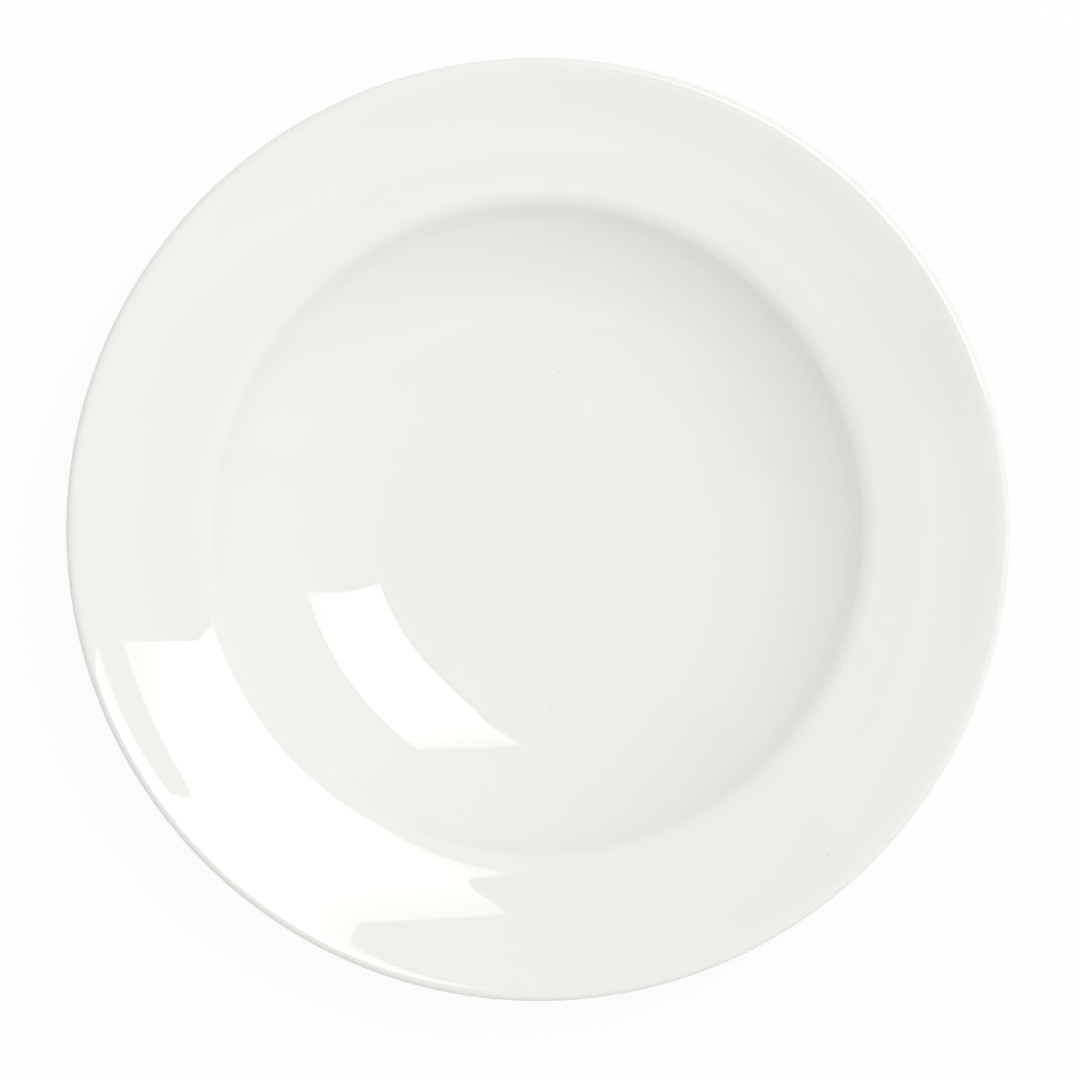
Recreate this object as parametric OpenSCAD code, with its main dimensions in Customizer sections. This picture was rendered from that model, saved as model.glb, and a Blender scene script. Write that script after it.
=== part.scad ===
// Rimmed soup plate: one porcelain body, fired under two coats of white glaze.
//
// The section is drawn once, on the bare body, as arcs and straight stretches that run into each other.
// It goes up the foot's outer side, under the wall and rim, round the lip and back over the rim, the
// shoulder and the cove to the middle of the well, and then turns round the plate's axis.
// A coat of glaze is the same line drawn twice, on the body and one glaze thickness off it, so coat and
// body meet face to face. The foot's standing ring is wiped dry, which parts the glaze into two coats.
//
// Slopes are in degrees from level. The origin is the middle of the ring that the plate stands on.

/* [Plate] */
// Diameter over the glazed lip
plate_d = 230; // [215:1:250]

/* [Well] */
// Diameter of the well's mouth, where the shoulder's round runs into its softer outer part
well_d = 167; // [155:1:175]
// Depth of the well, from its mouth to the middle of the floor
well_depth = 19.6; // [16:0.2:24]
// Thickness of the body at the middle of the floor
floor_t = 4.4; // [3.6:0.1:6]
// Radius of the first gentle rise at the floor's edge
floor_ease_r = 125; // [90:5:160]
// Slope at which the gentle rise runs into the cove
floor_ease_slope = 7.5; // [5:0.5:9]
// Slope of the well's wall at the top of the cove
wall_slope = 50; // [44:1:56]
// Thickness of the body along the cove and the wall
wall_t = 4.2; // [3.4:0.1:5]

/* [Shoulder] */
// Radius of the shoulder between wall and rim
shoulder_r = 8; // [5:0.5:11]
// Slope at which the shoulder's round runs into its softer outer part
shoulder_slope = 14.5; // [12:0.5:18]
// Radius of the shoulder's softer outer part
shoulder_ease_r = 36; // [20:2:60]
// Radius in the corner under the shoulder
under_shoulder_r = 12; // [8:1:15]

/* [Rim] */
// Thickness of the body along the rim beside the shoulder
rim_t = 3.5; // [3:0.1:4.2]
// Slope of the rim beside the shoulder
rim_in_slope = 9.5; // [7:0.5:11.5]
// Slope of the rim beside the lip
rim_out_slope = 21; // [17:0.5:24]

/* [Lip] */
// Thickness of the body where the rim runs into the lip
lip_t = 2.6; // [2.2:0.1:3]
// Radius at which the rim's face eases over into the lip
lip_ease_r = 9.5; // [6:0.5:13]
// Slope at which that easing runs into the lip's round
lip_slope = 9.5; // [6:0.5:13]

/* [Foot] */
// Diameter of the foot, across the middle of its standing ring
foot_d = 108; // [96:1:114]
// Height of the foot, from the table to the ceiling of the recess inside it
foot_h = 3.6; // [3.2:0.1:5]
// Width of the flat ring that the plate stands on
foot_face_w = 3; // [2:0.1:4]
// Radius of the standing ring's two edges
foot_edge_r = 0.8; // [0.5:0.1:1]
// Lean of the foot's outer side, away from upright
foot_out_lean = 10; // [5:1:16]
// Lean of the foot's inner side, away from upright
foot_in_lean = 20; // [12:1:28]
// Radius between the foot's outer side and the wall
foot_out_fillet_r = 3; // [2:0.25:4]
// Radius between the foot's inner side and the ceiling of the recess
foot_in_fillet_r = 2; // [1.5:0.25:2.25]

/* [Glaze] */
// Thickness of the fired glaze
glaze_t = 0.25; // [0.15:0.05:0.4]
// Height up to which the foot is wiped dry of glaze
dry_h = 1.2; // [0.9:0.1:1.5]
// Length over which a coat's edge rounds up to its full thickness
glaze_edge_w = 0.5; // [0.3:0.1:0.7]

/* [Hidden] */

// Shares of the rim's width, from the shoulder to the lip, that stay straight at first and that then bend
rim_straight_share = 0.1;
rim_bend_share = 0.67;

// Longest step and widest turn of the straight pieces that an arc is drawn with
arc_step = 1;
arc_turn = 5;
// Steps in which the edge of a coat rounds up
edge_steps = 8;
// Smoothness of the turned solids in a preview
round_fn = 180;

// Directions in degrees, where 0 points level and away from the plate's axis
up = 90;
down = -90;
back = 180;

// Direction at an angle, and the way off an upper face that slopes up and outwards
function aim(a) = [cos(a), sin(a)];
function off(slope) = aim(up + slope);
// Angle of a direction, and the part of one vector that lies along another
function angle_of(v) = atan2(v.y, v.x);
function along(v, u) = v * u;

// Points of an arc from one angle to another, drawn a little way out from its own radius
function steps(r, turn) = max(ceil(abs(turn) / arc_turn), ceil(abs(turn) * PI / back * r / arc_step));
function arc(c, r, out, from, to) =
    let (n = steps(r, to - from))
    [for (i = [0 : n]) c + (r + out) * aim(from + (to - from) * i / n)];

// Points between the two ends of a straight stretch, so that its rings are as close as an arc's
function stretch(from, to) =
    let (n = ceil(norm(to - from) / arc_step))
    [for (i = [1 : 1 : n - 1]) from + (to - from) * i / n];

// Centre of a round that touches a line on its own side and a circle from outside. The line starts at a
// point and runs along a direction, with the round on the side that a second direction gives.
function round_centre(start, run, side, r, c, circle_r) =
    let (w = start + r * side - c, b = along(w, run))
    start + r * side + run * (-b - sqrt(b * b - w * w + (circle_r + r) * (circle_r + r)));

function reversed(list) = [for (i = [len(list) - 1 : -1 : 0]) list[i]];

// Bare body's outermost radius: the glaze lies outside it
body_r = plate_d / 2 - glaze_t;
well_r = well_d / 2;
floor_z = foot_h + floor_t;

// Shoulder, on both sides of the well's mouth
mouth = [well_r, floor_z + well_depth];
shoulder_c = mouth - shoulder_r * off(shoulder_slope);
wall_top = shoulder_c + shoulder_r * off(wall_slope);
shoulder_ease_c = mouth - shoulder_ease_r * off(shoulder_slope);
rim_start = shoulder_ease_c + shoulder_ease_r * off(rim_in_slope);

// Cove: its radius is what joins the gentle rise of the floor to the top of the wall
ease_rise = floor_ease_r * (1 - cos(floor_ease_slope));
cove_r = (wall_top.y - floor_z - ease_rise) / (cos(floor_ease_slope) - cos(wall_slope));
cove_c = wall_top + cove_r * off(wall_slope);
floor_ease_c = cove_c + (floor_ease_r - cove_r) * off(floor_ease_slope);

// Lip: its round is as large as the body's thickness there allows behind the easing
lip_turn = rim_out_slope - lip_slope;
lip_r = (lip_t - lip_ease_r * (1 - cos(lip_turn))) / (1 + cos(lip_turn));
lip_ease_run = lip_ease_r * sin(rim_out_slope) - (lip_ease_r - lip_r) * sin(lip_slope);

// Rim, outwards: a straight stretch, the bend and a second straight stretch up to the lip
rim_run = body_r - lip_r - lip_ease_run - rim_start.x;
rim_bend_r = rim_bend_share * rim_run / (sin(rim_out_slope) - sin(rim_in_slope));
bend_start = rim_start + rim_straight_share * rim_run * [1, tan(rim_in_slope)];
bend_c = bend_start + rim_bend_r * off(rim_in_slope);
bend_end = bend_c - rim_bend_r * off(rim_out_slope);
outer_run = (1 - rim_straight_share - rim_bend_share) * rim_run;
lip_start = bend_end + outer_run * [1, tan(rim_out_slope)];
lip_ease_c = lip_start - lip_ease_r * off(rim_out_slope);
lip_c = lip_ease_c + (lip_ease_r - lip_r) * off(lip_slope);

// Rim's underside: one arc, which starts below the bend's start and has the lip's round lying against it,
// so the body thins steadily from the shoulder to the lip
under_start = bend_start - rim_t * off(rim_in_slope);
from_lip = under_start - lip_c;
under_rim_r = (lip_r * lip_r - from_lip * from_lip) / (2 * (along(from_lip, off(rim_in_slope)) + lip_r));
under_rim_c = under_start + under_rim_r * off(rim_in_slope);
under_lip_slope = angle_of(lip_c - under_rim_c) - down;

// Underside: the wall's outer face shares the cove's centre, and a round joins it to the rim's underside
under_r = cove_r + wall_t;
under_shoulder_c = round_centre(under_start, aim(back + rim_in_slope), -off(rim_in_slope),
                                under_shoulder_r, cove_c, under_r);
under_slope = angle_of(cove_c - under_shoulder_c) - up;

// Foot: two leaning sides between rounded edges and fillets
foot_r = foot_d / 2;
out_edge_c = [foot_r + foot_face_w / 2, foot_edge_r];
in_edge_c = [foot_r - foot_face_w / 2, foot_edge_r];
out_side = aim(-foot_out_lean);
in_side = aim(back + foot_in_lean);
out_rise = aim(up - foot_out_lean);
in_rise = aim(up + foot_in_lean);
out_fillet_c = round_centre(out_edge_c + foot_edge_r * out_side, out_rise, out_side,
                            foot_out_fillet_r, cove_c, under_r);
out_fillet_slope = angle_of(cove_c - out_fillet_c) - up;
in_line = in_edge_c + (foot_edge_r + foot_in_fillet_r) * in_side;
in_fillet_c = in_line + in_rise * (foot_h - foot_in_fillet_r - in_line.y) / in_rise.y;

// Points on the foot's two sides where the glaze stops
function at_height(p, run, z) = p + run * (z - p.y) / run.y;
out_dry = at_height(out_edge_c + foot_edge_r * out_side, out_rise, dry_h);
in_dry = at_height(in_edge_c + foot_edge_r * in_side, in_rise, dry_h);

// Ends of the rim's two straight stretches
function rim_above(p, slope, out) = p + out * off(slope);

// Wall and rim from the foot's outer fillet, round the lip, to the middle of the well
function outer_face(out) = concat(
    arc(out_fillet_c, foot_out_fillet_r, -out, back - foot_out_lean, up + out_fillet_slope),
    arc(cove_c, under_r, out, down + out_fillet_slope, down + under_slope),
    arc(under_shoulder_c, under_shoulder_r, -out, up + under_slope, up + rim_in_slope),
    arc(under_rim_c, under_rim_r, out, down + rim_in_slope, down + under_lip_slope),
    arc(lip_c, lip_r, out, down + under_lip_slope, up + lip_slope),
    arc(lip_ease_c, lip_ease_r, out, up + lip_slope, up + rim_out_slope),
    stretch(rim_above(lip_start, rim_out_slope, out), rim_above(bend_end, rim_out_slope, out)),
    arc(bend_c, rim_bend_r, -out, down + rim_out_slope, down + rim_in_slope),
    stretch(rim_above(bend_start, rim_in_slope, out), rim_above(rim_start, rim_in_slope, out)),
    arc(shoulder_ease_c, shoulder_ease_r, out, up + rim_in_slope, up + shoulder_slope),
    arc(shoulder_c, shoulder_r, out, up + shoulder_slope, up + wall_slope),
    arc(cove_c, cove_r, -out, down + wall_slope, down + floor_ease_slope),
    arc(floor_ease_c, floor_ease_r, -out, down + floor_ease_slope, down),
    [[0, floor_z + out]]
);

// Recess inside the foot, from its middle to the foot's inner side
function recess_face(out) = concat(
    [[0, foot_h - out]],
    arc(in_fillet_c, foot_in_fillet_r, -out, up, foot_in_lean)
);

// Edge of a coat: it rounds up from the dry body to the coat's full thickness
function coat_edge(p, run, side) =
    [for (i = [0 : edge_steps]) let (a = up * i / edge_steps)
        p + run * glaze_edge_w * (1 - cos(a)) + side * glaze_t * sin(a)];

// Standing ring with its rounded edges, from the inner side to the outer
function standing_ring() = concat(
    [in_dry],
    arc(in_edge_c, foot_edge_r, 0, foot_in_lean - back, down),
    arc(out_edge_c, foot_edge_r, 0, down, -foot_out_lean),
    [out_dry]
);

// The one fired piece: floor, cove, wall, shoulder, rim, lip and foot
module porcelain_body() {
    color([0.93, 0.91, 0.87])
        rotate_extrude($fn = round_fn)
            polygon(concat(standing_ring(), outer_face(0), recess_face(0)));
}

// Glaze from the foot's outer side, under the rim, round the lip and over the whole eating side
module main_glaze() {
    color([0.95, 0.945, 0.925])
        rotate_extrude($fn = round_fn)
            polygon(concat(coat_edge(out_dry, out_rise, out_side), outer_face(glaze_t),
                           reversed(outer_face(0))));
}

// Glaze inside the foot
module foot_recess_glaze() {
    color([0.95, 0.945, 0.925])
        rotate_extrude($fn = round_fn)
            polygon(concat(recess_face(glaze_t), reversed(coat_edge(in_dry, in_rise, in_side)),
                           reversed(recess_face(0))));
}

porcelain_body();
main_glaze();
foot_recess_glaze();
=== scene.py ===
"""Rimmed soup plate in white glazed porcelain, seen from straight above under soft studio light."""

import math

import bpy
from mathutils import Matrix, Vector


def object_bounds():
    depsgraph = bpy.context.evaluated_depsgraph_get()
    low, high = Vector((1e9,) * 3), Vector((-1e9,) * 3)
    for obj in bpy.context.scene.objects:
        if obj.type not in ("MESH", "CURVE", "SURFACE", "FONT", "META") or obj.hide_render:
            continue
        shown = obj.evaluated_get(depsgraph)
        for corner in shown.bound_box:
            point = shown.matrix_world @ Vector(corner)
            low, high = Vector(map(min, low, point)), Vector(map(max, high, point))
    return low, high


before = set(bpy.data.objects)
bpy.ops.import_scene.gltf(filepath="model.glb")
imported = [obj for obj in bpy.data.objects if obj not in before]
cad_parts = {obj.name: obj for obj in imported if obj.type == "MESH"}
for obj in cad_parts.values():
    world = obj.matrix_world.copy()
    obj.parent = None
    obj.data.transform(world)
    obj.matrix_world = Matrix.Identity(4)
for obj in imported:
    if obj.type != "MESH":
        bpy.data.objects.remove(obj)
cad_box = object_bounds()

# Lengths are in metres. The plate stands on the level X-Y plane, and +X is its right as the camera sees it.
MM = 0.001
MICRON = 0.000001
ALONG_X = (1, 0, 0)
ALONG_Y = (0, 1, 0)
LEVEL = (1, 1, 0)
UP = (0, 0, 1)

# Camera: it hangs over the plate and looks straight down. The plate's lip is a circle in the picture, and
# these are that circle's middle and width in a frame of 1080 by 1080 pixels.
PICTURE = 1080
LIP_MIDDLE_X = 538.0
LIP_MIDDLE_Y = 529.4
LIP_WIDTH = 943.6
CAMERA_HEIGHT = 1.7
# The lip is widest this far below its top
LIP_WIDEST_BELOW_TOP = 1.47 * MM

# Studio: panels hang level at one height over the plate. Their corners are shares of that height, along X
# and Y from a point over the plate's middle. The two reflectors run on almost to the horizon.
PANEL_HEIGHT = 2.0
SOFTBOX = ((0.672, 0.183), (0.450, 0.134), (0.220, 0.074), (0.070, 0.026), (0.030, 0.370), (0.435, 0.805))
FRONT_REFLECTOR = ((0.98, -0.289), (11.5, -3.4), (11.5, -12.0), (-12.0, -12.0), (-12.0, -0.65))
LEFT_REFLECTOR = (
    (-0.378, -0.122), (-0.345, 0.352), (-8.4, 8.6), (-12.0, 8.6), (-12.0, -0.65), (-3.1, -0.405))
# The reflectors glow a little more along their near edges. That fades between two radii, which are shares
# of the height too.
REFLECTOR_GLOW = 1.25
REFLECTOR_EDGE_GLOW = 1.5
REFLECTOR_EDGE = (0.3, 0.8)
# The softbox glows most along its middle line and fades to its two sides. The direction leads across that
# line, and the two shares say where the line lies and how far off it the fade ends.
SOFTBOX_ACROSS = (0.766, -0.643, 0.0)
SOFTBOX_MIDDLE = 0.06
SOFTBOX_FADE = 0.28
SOFTBOX_GLOW = 8.3
SOFTBOX_SIDE_GLOW = 3.0
# Light from all round: its even part, and what it gains towards the plate's right
DOME_EVEN = 0.64
DOME_RIGHT = 0.35
# The colour of all light, and the strength at which the camera and mirrored rays see the dome and the table
WHITE = (1.0, 1.0, 1.0, 1.0)
SHOWN_WHITE = 1.0

# Table: its colour, and the share of plain white that covers it for the camera and mirrored rays. It lies a
# hair under the standing ring, so that the two don't share one plane.
TABLE_WHITE = (0.9, 0.9, 0.9)
TABLE_SHOWN_SHARE = 0.92
TABLE_HALF_WIDTH = 3.0
TABLE_LEVEL = -0.1 * MM

# Glaze: its white goes a little darker and lighter in wide clouds
GLAZE_WHITE = (0.833, 0.824, 0.790)
CLOUD_WIDTH = 60 * MM
CLOUD_DARKER = 0.99
CLOUD_LIGHTER = 1.01
# Its roughness, what that gains in dull patches, and how wide those are
GLAZE_ROUGHNESS = 0.01
DULL_PATCH_GAIN = 0.01
DULL_PATCH_WIDTH = 30 * MM
GLAZE_IOR = 1.52
# It pools in the two corners beside the foot. The pools have these radii, reach so far to both sides, and
# end between two heights.
POOLED_GLAZE = (0.80, 0.81, 0.78)
POOL_RADII = (50.3 * MM, 58.6 * MM)
POOL_REACH = 4 * MM
POOL_TOP = (6.0 * MM, 7.5 * MM)
# Brown specks: their places lie so far apart, a share of these holds one, and each sits in a pit
SPECK_BROWN = (0.42, 0.36, 0.28)
SPECK_STRENGTH = 0.45
SPECKS_APART = 34 * MM
SPECK_SHARE = 0.2
SPECK_WIDTH = 0.5 * MM
SPECK_PIT = 12 * MICRON
# Waves from its flow in the kiln, by width and height
FLOW_WAVES = (14 * MM, 3 * MICRON)
# Rings from turning, by width, by height and by how quickly they change along themselves
RINGS = (2.2 * MM, 0.5 * MICRON, 1.5)
WALL_RINGS = (1.2 * MM, 5 * MICRON, 0.7)
# The wall's rings stand out between two radii, and begin and end softly
TURNED_WALL = (66.5 * MM, 75.5 * MM)
TURNED_WALL_FADE = 1.5 * MM

# Dry ring: its white, which the grain lightens up to a share, and the grain's width, detail and height
DRY_WHITE = (0.78, 0.765, 0.72)
GRAIN_LIGHTER = 1.05
GRAIN_WIDTH = 0.6 * MM
GRAIN_DETAIL = 4.0
GRAIN_HEIGHT = 6 * MICRON
# Marks of grinding in rings: their width, their height and how quickly they change along themselves
GROUND_WIDTH = 0.3 * MM
GROUND_HEIGHT = 8 * MICRON
GROUND_TURN_SHARE = 6.0
# Its roughness, and what grinding takes off that
DRY_ROUGHNESS = 0.72
GROUND_SMOOTHER = 0.15
PORCELAIN_IOR = 1.5
# Grey scuffs lie where the grinding marks and a patch are both high. Each comes in between two levels.
SCUFF_GREY = (0.45, 0.44, 0.42)
SCUFF_STRENGTH = 0.4
SCUFF_MARKS = (0.55, 0.7)
SCUFF_PATCHES = (0.5, 0.65)
SCUFF_PATCH_WIDTH = 9 * MM

# The middle of a noise from 0 to 1, and the detail of the noise that draws rings
NOISE_MIDDLE = 0.5
RING_DETAIL = 1.0
# Sockets of a Mix node for colours, which share their names with those for other kinds of value
MIX_SHARE = 0
MIX_FIRST = 6
MIX_SECOND = 7
MIX_RESULT = 2

# Welding distance for points that two rings of a CAD node share
SAME_POINT = 0.002 * MM
# Each ring of points gets its number from its radius and height, counted in steps. The plate's height has
# fewer steps than there are rows.
RING_STEP = 0.02 * MM
RING_ROWS = 2000


class Wire:
    """An output socket. An expression on wires adds its Math nodes to their tree."""

    def __init__(self, tree, socket):
        self.tree = tree
        self.socket = socket

    def beside(self, name):
        """Another output of the same node."""
        return Wire(self.tree, self.socket.node.outputs[name])

    def math(self, operation, *others):
        return self.tree.maths(operation, self, *others)

    def __add__(self, other):
        return self.tree.maths("ADD", self, other)

    def __radd__(self, other):
        return self.tree.maths("ADD", other, self)

    def __sub__(self, other):
        return self.tree.maths("SUBTRACT", self, other)

    def __rsub__(self, other):
        return self.tree.maths("SUBTRACT", other, self)

    def __mul__(self, other):
        return self.tree.maths("MULTIPLY", self, other)

    def __rmul__(self, other):
        return self.tree.maths("MULTIPLY", other, self)

    def __truediv__(self, other):
        return self.tree.maths("DIVIDE", self, other)

    def __rtruediv__(self, other):
        return self.tree.maths("DIVIDE", other, self)


class Tree:
    """A node tree. add() is the one way in: a node's kind, its settings, then its sockets."""

    def __init__(self, nodes):
        self.nodes = nodes
        nodes.nodes.clear()

    def add(self, kind, settings=None, sockets=None, out=0):
        node = self.nodes.nodes.new(kind)
        for name, value in (settings or {}).items():
            setattr(node, name, value)
        for key, value in (sockets or {}).items():
            if isinstance(value, Wire):
                self.nodes.links.new(value.socket, node.inputs[key])
            else:
                node.inputs[key].default_value = value
        return Wire(self, node.outputs[out]) if node.outputs else node

    def maths(self, operation, *values):
        return self.add("ShaderNodeMath", {"operation": operation}, dict(enumerate(values)))

    def vector(self, operation, *values, out=0):
        return self.add("ShaderNodeVectorMath", {"operation": operation}, dict(enumerate(values)), out)

    def stretch(self, way, share):
        """A vector, times share."""
        return self.add("ShaderNodeVectorMath", {"operation": "SCALE"}, {"Vector": way, "Scale": share})

    def reach(self, place, way):
        """How far place lies in a direction."""
        return self.vector("DOT_PRODUCT", place, way, out="Value")

    def outward(self, place):
        """Level direction away from the plate's axis."""
        return self.vector("NORMALIZE", self.vector("MULTIPLY", place, LEVEL))

    def radius(self, place):
        """Distance from the plate's axis."""
        return self.vector("LENGTH", self.vector("MULTIPLY", place, LEVEL), out="Value")

    def colour(self, share, first, second):
        """From the first colour to the second as share goes from 0 to 1."""
        sockets = {MIX_SHARE: share, MIX_FIRST: first, MIX_SECOND: second}
        return self.add("ShaderNodeMix", {"data_type": "RGBA"}, sockets, MIX_RESULT)

    def rise(self, value, low, high):
        """0 below low, 1 above high and a soft step between."""
        settings = {"interpolation_type": "SMOOTHSTEP"}
        return self.add("ShaderNodeMapRange", settings, {"Value": value, "From Min": low, "From Max": high})

    def noise(self, place, size, detail=2.0):
        """Soft noise from 0 to 1 whose lumps are about size across."""
        sockets = {"Vector": place, "Scale": 1 / size, "Detail": detail}
        return self.add("ShaderNodeTexNoise", None, sockets)

    def shown(self):
        """1 for the rays that show a thing, straight or by a mirror, and 0 for those that only light it."""
        kinds = ("Is Camera Ray", "Is Glossy Ray", "Is Transmission Ray")
        camera, mirrored, through = (self.add("ShaderNodeLightPath", out=kind) for kind in kinds)
        return (camera + mirrored + through).math("MINIMUM", 1.0)


class Finish(Tree):
    """A material's node tree, with the places on the plate that its patterns follow."""

    def __init__(self, name):
        self.material = bpy.data.materials.new(name)
        self.material.use_nodes = True
        super().__init__(self.material.node_tree)
        self.place = self.add("ShaderNodeTexCoord", out="Object")

    def rings(self, width, turn_share):
        """Noise from 0 to 1 in rings about the plate's axis, each about width across, in metres.

        The rings change their strength along themselves, more quickly the larger turn_share is."""
        across = self.add("ShaderNodeCombineXYZ", None, {"Z": self.radius(self.place) / width})
        place = self.vector("ADD", self.stretch(self.outward(self.place), turn_share), across)
        return self.noise(place, 1.0, RING_DETAIL)

    def ring_relief(self, width, height, turn_share):
        """Height of rings over the surface, from half of height below it to half above."""
        return (self.rings(width, turn_share) - NOISE_MIDDLE) * height

    def specks(self, apart, width, share):
        """1 in small round specks and 0 elsewhere.

        Their places lie about apart from each other, and a share of these is kept."""
        flat = {"voronoi_dimensions": "2D"}
        near = self.add("ShaderNodeTexVoronoi", flat, {"Vector": self.place, "Scale": 1 / apart})
        kept = self.reach(near.beside("Color"), ALONG_X).math("LESS_THAN", share)
        return kept * (1 - self.rise(near * apart, width / 4, width / 2))

    def relief(self, height):
        """Normal of a surface that stands up by height, in metres."""
        return self.add("ShaderNodeBump", None, {"Strength": 1.0, "Distance": 1.0, "Height": height})

    def light(self, strength):
        """White light."""
        return self.add("ShaderNodeEmission", None, {"Color": WHITE, "Strength": strength})

    def mix(self, share, first, second):
        """From the first shader to the second as share goes from 0 to 1."""
        return self.add("ShaderNodeMixShader", None, {0: share, 1: first, 2: second})

    def show(self, shader):
        self.add("ShaderNodeOutputMaterial", None, {"Surface": shader})
        return self.material


def tint(colour, share=1.0):
    """A colour, all of its parts times share, as a colour socket takes it."""
    return tuple(part * share for part in colour) + (1.0,)


def section_normal(tree):
    """Normal at each point of a turned mesh, from the slopes between its rings.

    The points lie on the true section, so a ring's slope is the mean of the steps to the rings beside it.
    Triangles alone lean a little to and fro, as rings side by side differ in their number of points."""
    edge = "GeometryNodeInputMeshEdgeVertices"
    start, end = (tree.add(edge, out=name) for name in ("Position 1", "Position 2"))
    run = tree.radius(end) - tree.radius(start)
    rise = tree.reach(end, UP) - tree.reach(start, UP)
    squared = run * run + rise * rise
    crosses = squared.math("GREATER_THAN", SAME_POINT ** 2)
    place = tree.add("GeometryNodeInputPosition")
    outward = tree.outward(place)
    faces = tree.add("GeometryNodeInputNormal")
    side = (tree.reach(faces, outward) * rise - tree.reach(faces, UP) * run).math("SIGN")
    # Short steps count for more, as they lie nearer to the ring
    weight = side * crosses / squared.math("MAXIMUM", SAME_POINT ** 2)
    # The lean of a normal has its outward part along X and its upward part along Y
    lean = tree.add("ShaderNodeCombineXYZ", None, {"X": rise * weight, "Y": 0 - run * weight})
    on_edges = {"domain": "EDGE", "data_type": "FLOAT_VECTOR"}
    lean = tree.add("GeometryNodeFieldOnDomain", on_edges, {"Value": lean})
    lean = tree.stretch(lean, tree.add("GeometryNodeInputMeshVertexNeighbors", out="Vertex Count"))
    column = (tree.radius(place) / RING_STEP).math("ROUND")
    row = (tree.reach(place, UP) / RING_STEP).math("ROUND")
    lean = tree.add(
        "GeometryNodeAccumulateField", {"domain": "POINT", "data_type": "FLOAT_VECTOR"},
        {"Value": lean, "Group ID": column * RING_ROWS + row}, "Total")
    upright = tree.add("ShaderNodeCombineXYZ", None, {"Z": tree.reach(lean, ALONG_Y)})
    return tree.vector("ADD", tree.stretch(outward, tree.reach(lean, ALONG_X)), upright)


def smooth_wheel_turned():
    """Modifier that welds the rings of a turned CAD node and shades it by its true section."""
    group = bpy.data.node_groups.new("smooth_wheel_turned", "GeometryNodeTree")
    group.interface.new_socket("Geometry", in_out="INPUT", socket_type="NodeSocketGeometry")
    group.interface.new_socket("Geometry", in_out="OUTPUT", socket_type="NodeSocketGeometry")
    tree = Tree(group)
    shape = tree.add("NodeGroupInput")
    shape = tree.add("GeometryNodeMergeByDistance", None, {"Geometry": shape, "Distance": SAME_POINT})
    shape = tree.add("GeometryNodeRemoveAttribute", None, {"Geometry": shape, "Name": "custom_normal"})
    shape = tree.add(
        "GeometryNodeSetMeshNormal", {"mode": "FREE", "domain": "POINT"},
        {"Mesh": shape, "Custom Normal": section_normal(tree)})
    tree.add("NodeGroupOutput", None, {"Geometry": shape})
    return group


def glaze():
    """Clear glass over a white body, which reads as one warm white with a hard gloss."""
    m = Finish("warm_white_glaze")
    off_axis = m.radius(m.place)
    cloud = m.noise(m.place, CLOUD_WIDTH)
    tone = m.colour(cloud, tint(GLAZE_WHITE, CLOUD_DARKER), tint(GLAZE_WHITE, CLOUD_LIGHTER))
    low = 1 - m.rise(m.reach(m.place, UP), *POOL_TOP)
    for radius in POOL_RADII:
        off_pool = (off_axis - radius).math("ABSOLUTE")
        tone = m.colour(low * (1 - m.rise(off_pool, 0.0, POOL_REACH)), tone, tint(POOLED_GLAZE))
    speck = m.specks(SPECKS_APART, SPECK_WIDTH, SPECK_SHARE)
    tone = m.colour(speck * SPECK_STRENGTH, tone, tint(SPECK_BROWN))
    width, height = FLOW_WAVES
    waves = (m.noise(m.place, width) - NOISE_MIDDLE) * height
    start, end = TURNED_WALL
    inside = m.rise(off_axis, start, start + TURNED_WALL_FADE)
    outside = m.rise(off_axis, end - TURNED_WALL_FADE, end)
    turned = m.ring_relief(*RINGS) + inside * (1 - outside) * m.ring_relief(*WALL_RINGS)
    rough = GLAZE_ROUGHNESS + DULL_PATCH_GAIN * m.noise(m.place, DULL_PATCH_WIDTH)
    return m.show(m.add("ShaderNodeBsdfPrincipled", None, {
        "Base Color": tone, "Roughness": rough, "IOR": GLAZE_IOR,
        "Normal": m.relief(waves + turned - speck * SPECK_PIT)}))


def dry_ring():
    """The standing ring, wiped dry before firing and ground smooth, with grey marks from use on tables."""
    m = Finish("dry_porcelain")
    grain = m.noise(m.place, GRAIN_WIDTH, GRAIN_DETAIL)
    tone = m.colour(grain, tint(DRY_WHITE), tint(DRY_WHITE, GRAIN_LIGHTER))
    ground = m.rings(GROUND_WIDTH, GROUND_TURN_SHARE)
    patches = m.rise(m.noise(m.place, SCUFF_PATCH_WIDTH), *SCUFF_PATCHES)
    scuffed = m.rise(ground, *SCUFF_MARKS) * patches
    tone = m.colour(scuffed * SCUFF_STRENGTH, tone, tint(SCUFF_GREY))
    return m.show(m.add("ShaderNodeBsdfPrincipled", None, {
        "Base Color": tone, "Roughness": DRY_ROUGHNESS - ground * GROUND_SMOOTHER, "IOR": PORCELAIN_IOR,
        "Normal": m.relief(grain * GRAIN_HEIGHT + ground * GROUND_HEIGHT)}))


def softbox_light():
    """Light of the softbox, which fades from its middle line to its two sides."""
    m = Finish("softbox_light")
    across = m.reach(m.place, SOFTBOX_ACROSS)
    off_middle = (across - SOFTBOX_MIDDLE * PANEL_HEIGHT).math("ABSOLUTE")
    fade = m.rise(off_middle, 0.0, SOFTBOX_FADE * PANEL_HEIGHT)
    return m.show(m.mix(fade, m.light(SOFTBOX_GLOW), m.light(SOFTBOX_SIDE_GLOW)))


def reflector_light():
    """Light of the reflectors. Only mirrored rays look for it, so its edges stay crisp."""
    m = Finish("reflector_light")
    m.material.cycles.emission_sampling = "NONE"
    near, far = (share * PANEL_HEIGHT for share in REFLECTOR_EDGE)
    fade = m.rise(m.radius(m.place), near, far)
    return m.show(m.mix(fade, m.light(REFLECTOR_EDGE_GLOW), m.light(REFLECTOR_GLOW)))


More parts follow.
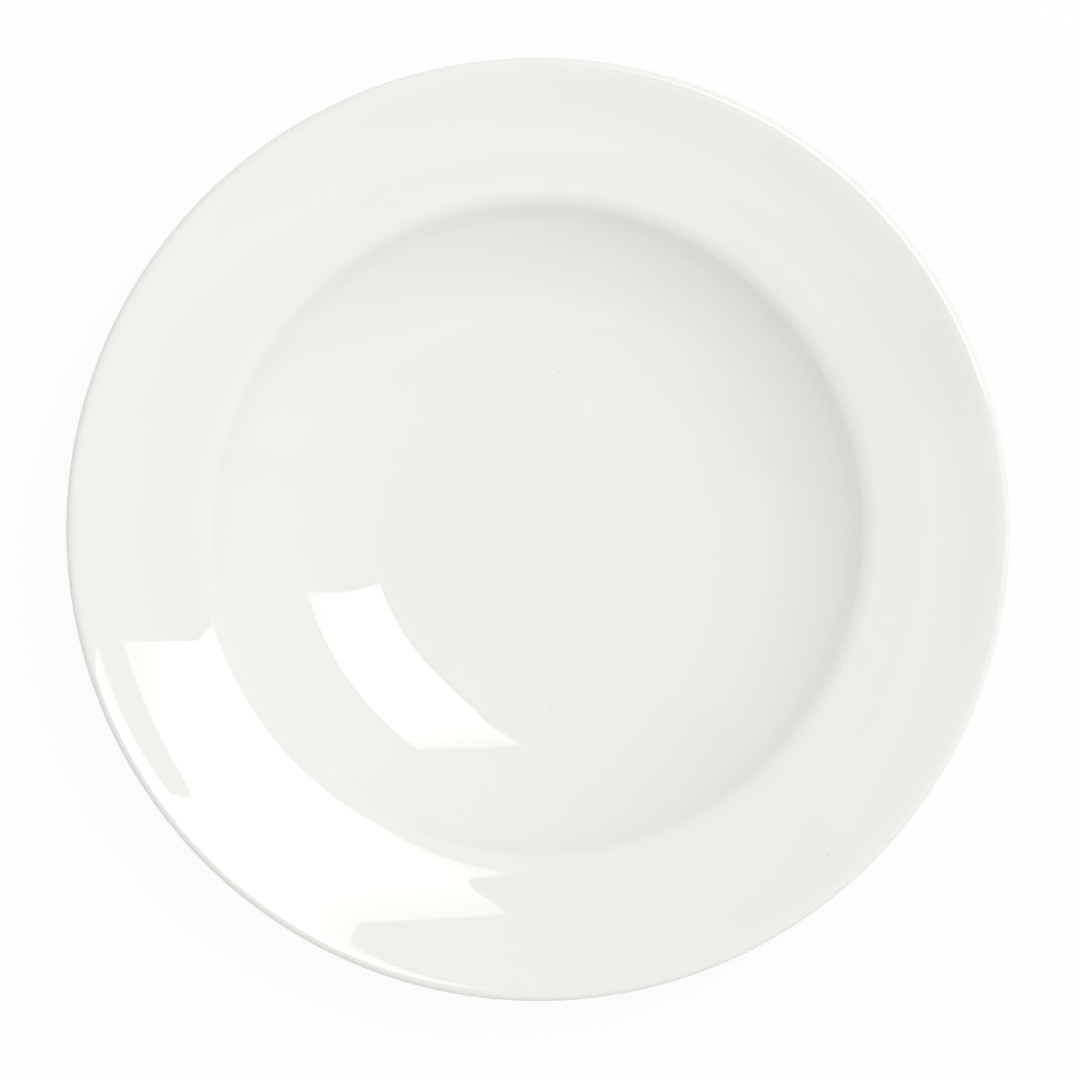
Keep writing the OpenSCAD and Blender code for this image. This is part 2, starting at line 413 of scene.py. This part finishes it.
def table_top():
    """Pale laminate under a share of plain white, through which the plate's soft shadow still shows."""
    m = Finish("pale_table")
    lit = m.add("ShaderNodeBsdfDiffuse", None, {"Color": tint(TABLE_WHITE)})
    return m.show(m.mix(m.shown() * TABLE_SHOWN_SHARE, lit, m.light(SHOWN_WHITE)))


def level_sheet(name, corners, height, scale, finish):
    """A flat piece at one height. Its corners are given along X and Y in units of scale."""
    mesh = bpy.data.meshes.new(name)
    points = [(x * scale, y * scale, height) for x, y in corners]
    mesh.from_pydata(points, [], [range(len(points))])
    mesh.materials.append(finish)
    piece = bpy.data.objects.new(name, mesh)
    bpy.context.scene.collection.objects.link(piece)
    return piece


def panel(name, corners, finish, lights):
    """A level panel over the plate. One that lights nothing is seen in the glaze alone."""
    piece = level_sheet(name, corners, PANEL_HEIGHT, PANEL_HEIGHT, finish)
    piece.visible_camera = False
    piece.visible_diffuse = lights
    piece.visible_shadow = lights


def table():
    """Pale table under the plate, near white to the camera."""
    corners = ((-1, -1), (1, -1), (1, 1), (-1, 1))
    level_sheet("table", corners, TABLE_LEVEL, TABLE_HALF_WIDTH, table_top())


def dome():
    """Light from all round, which the camera and mirrored rays see as plain white."""
    world = bpy.data.worlds.new("studio")
    bpy.context.scene.world = world
    world.use_nodes = True
    tree = Tree(world.node_tree)
    way = tree.add("ShaderNodeTexCoord", out="Generated")
    light = DOME_EVEN + tree.reach(way, ALONG_X).math("MAXIMUM", 0.0) * DOME_RIGHT
    strength = light + tree.shown() * (SHOWN_WHITE - light)
    sky = tree.add("ShaderNodeBackground", None, {"Color": WHITE, "Strength": strength})
    tree.add("ShaderNodeOutputWorld", None, {"Surface": sky})


def camera():
    """Looks straight down, with the picture's top towards +Y, and fits the lip to its circle."""
    low, high = cad_box
    lip_level = high.z - LIP_WIDEST_BELOW_TOP
    metres_per_pixel = (high.x - low.x) / LIP_WIDTH
    distance = CAMERA_HEIGHT - lip_level
    data = bpy.data.cameras.new("overhead")
    data.sensor_fit = "HORIZONTAL"
    data.angle = 2 * math.atan(PICTURE * metres_per_pixel / 2 / distance)
    eye = bpy.data.objects.new("overhead", data)
    middle = PICTURE / 2
    eye.location = Vector((
        (middle - LIP_MIDDLE_X) * metres_per_pixel,
        (LIP_MIDDLE_Y - middle) * metres_per_pixel,
        CAMERA_HEIGHT))
    bpy.context.scene.collection.objects.link(eye)
    bpy.context.scene.camera = eye


def dress(node, finish, smoothing):
    """Gives a CAD node its finish and its smooth shading."""
    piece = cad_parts[node]
    for slot in piece.material_slots:
        slot.link = "OBJECT"
        slot.material = finish
    piece.modifiers.new("smooth_wheel_turned", "NODES").node_group = smoothing


wheel_turned = smooth_wheel_turned()
white_glaze = glaze()
dress("porcelain_body", dry_ring(), wheel_turned)
dress("main_glaze", white_glaze, wheel_turned)
dress("foot_recess_glaze", white_glaze, wheel_turned)

reflector_finish = reflector_light()
panel("softbox", SOFTBOX, softbox_light(), lights=True)
panel("front_reflector", FRONT_REFLECTOR, reflector_finish, lights=False)
panel("left_reflector", LEFT_REFLECTOR, reflector_finish, lights=False)
table()
dome()
camera()

bpy.context.scene.view_settings.view_transform = "Standard"
